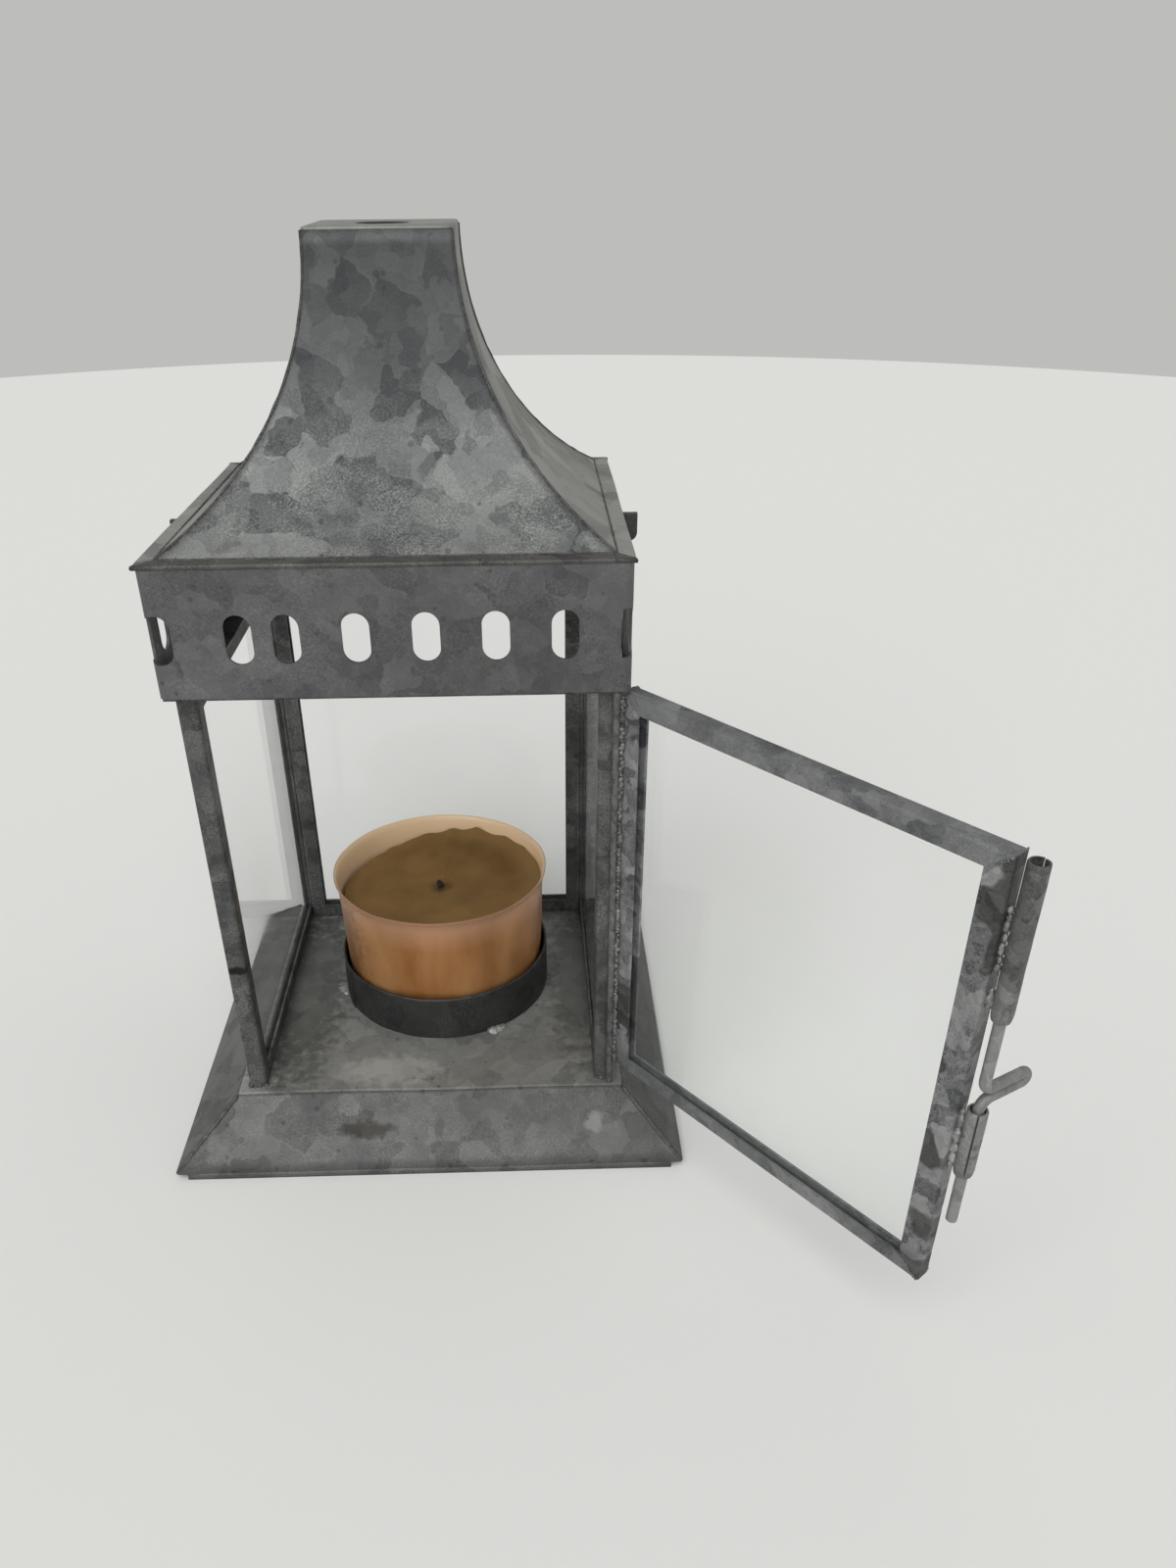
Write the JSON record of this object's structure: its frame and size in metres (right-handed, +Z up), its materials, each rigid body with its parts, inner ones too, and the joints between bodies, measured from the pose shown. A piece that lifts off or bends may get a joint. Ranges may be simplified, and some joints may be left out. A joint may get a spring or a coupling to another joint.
{
  "type": "lantern",
  "caption": "Small square galvanised tin lantern with a punched cornice, curved roof, glazed sides and an open glazed door with a wire bolt, holding a tealight.",
  "frame": {"origin": "centre of the base's footprint, on the surface that the lantern stands on", "axes": "+Z up; the doorway faces -Y; +X is the side of the doorway that the door hangs on"},
  "size_m": [0.1202, 0.1143, 0.136],
  "materials": {
    "galvanised_sheet": "dull weathered zinc with spangle",
    "channel_sheet": "dull weathered zinc with dark blotches",
    "rolled_tube": "dull weathered zinc",
    "wire": "satin wire",
    "solder": "matt solder",
    "window_glass": "clear",
    "copper_cup": "satin copper colour",
    "wax": "waxy",
    "wick": "charred cotton",
    "tinplate": "plain"
  },
  "bodies": {
    "lantern": {"back_pane_bottom_channel": "channel_sheet", "back_pane_glass": "window_glass", "back_pane_left_channel": "channel_sheet", "back_pane_right_channel": "channel_sheet", "back_pane_top_channel": "channel_sheet", "base_pan": "galvanised_sheet", "candle_ring": "galvanised_sheet", "chimney_cap": "galvanised_sheet", "cornice_band": "galvanised_sheet", "ear_left": "galvanised_sheet", "ear_right": "galvanised_sheet", "ledge_frame": "galvanised_sheet", "left_pane_bottom_channel": "channel_sheet", "left_pane_front_channel": "channel_sheet", "left_pane_glass": "window_glass", "left_pane_rear_channel": "channel_sheet", "left_pane_top_channel": "channel_sheet", "right_pane_bottom_channel": "channel_sheet", "right_pane_front_channel": "channel_sheet", "right_pane_glass": "window_glass", "right_pane_rear_channel": "channel_sheet", "right_pane_top_channel": "channel_sheet", "ring_solder": "solder", "roof_back": "galvanised_sheet", "roof_front": "galvanised_sheet", "roof_left": "galvanised_sheet", "roof_right": "galvanised_sheet"},
    "door": {"door_bottom_rail": "channel_sheet", "door_free_stile": "channel_sheet", "door_glass": "window_glass", "door_hinge_solder": "solder", "door_hinge_stile": "channel_sheet", "door_hinge_wire": "wire", "door_top_rail": "channel_sheet", "latch_upper_tube": "rolled_tube", "latch_lower_tube": "rolled_tube", "latch_solder": "solder"},
    "bolt": {"latch_bolt": "wire"},
    "candle": {"candle_cup": "copper_cup", "candle_wax": "wax", "candle_wick": "wick", "candle_wick_tab": "tinplate"}
  },
  "joints": [
    {"name": "door_hinge", "type": "hinge", "parent": "lantern", "child": "door", "pos_m": [0.0302, -0.028, 0], "axis": [0, 0, 1], "range_deg": [-129.2, 12]},
    {"name": "bolt_slide", "type": "slide", "parent": "door", "child": "bolt", "axis": [0, 0, 1], "range_m": [0, 0.0095]},
    {"name": "candle_lift", "type": "slide", "parent": "lantern", "child": "candle", "axis": [0, 0, 1], "range_m": [0, 0.012]}
  ]
}
